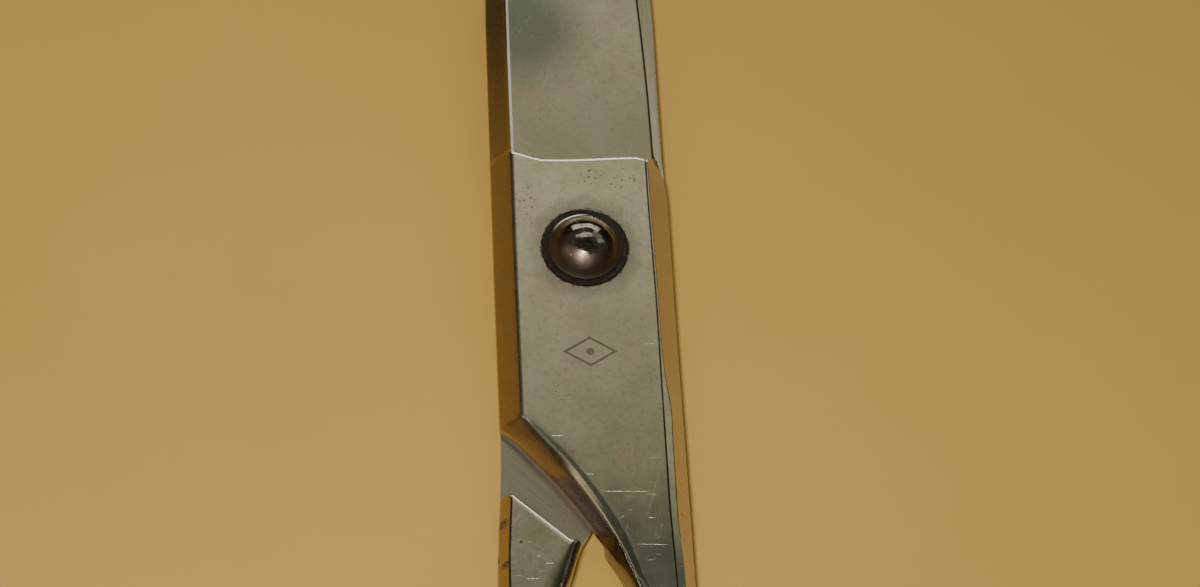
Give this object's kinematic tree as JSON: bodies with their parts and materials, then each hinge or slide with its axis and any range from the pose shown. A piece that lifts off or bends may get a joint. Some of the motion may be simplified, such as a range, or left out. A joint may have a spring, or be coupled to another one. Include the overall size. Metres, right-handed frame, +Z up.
{
  "type": "tailor's shears",
  "caption": "Straight all-steel fabric shears: two bevelled forged halves crossing at a domed pivot bolt, with a round thumb bow and a long finger bow.",
  "frame": {"origin": "on the pivot axis, in the plane of the lower half's flat outer face, which the closed shears lie on", "axes": "+Z up along the pivot axis towards the domed head, +Y from the pivot towards the blade tips, +X towards the thumb bow's side"},
  "size_m": [0.0841, 0.2696, 0.0137],
  "materials": {
    "lower_steel": "worn nickel plate on forged steel, ground inner face",
    "upper_steel": "worn nickel plate on forged steel, fine scratches and small pits",
    "bolt_steel": "polished steel dome, slightly dented",
    "dark_washer": "blackened, with old oil and rust",
    "nut_washer_steel": "dull steel",
    "nut_steel": "dull steel with worn notches"
  },
  "bodies": {
    "lower": {"lower_half": "lower_steel"},
    "upper": {"upper_half": "upper_steel", "pivot_bolt": "bolt_steel", "head_washer": "dark_washer", "nut_washer": "nut_washer_steel", "pivot_nut": "nut_steel"}
  },
  "joints": [
    {"name": "pivot_hinge", "type": "hinge", "parent": "lower", "child": "upper", "pos_m": [0, 0, 0], "axis": [0, 0, 1], "range_deg": [0, 110]}
  ]
}
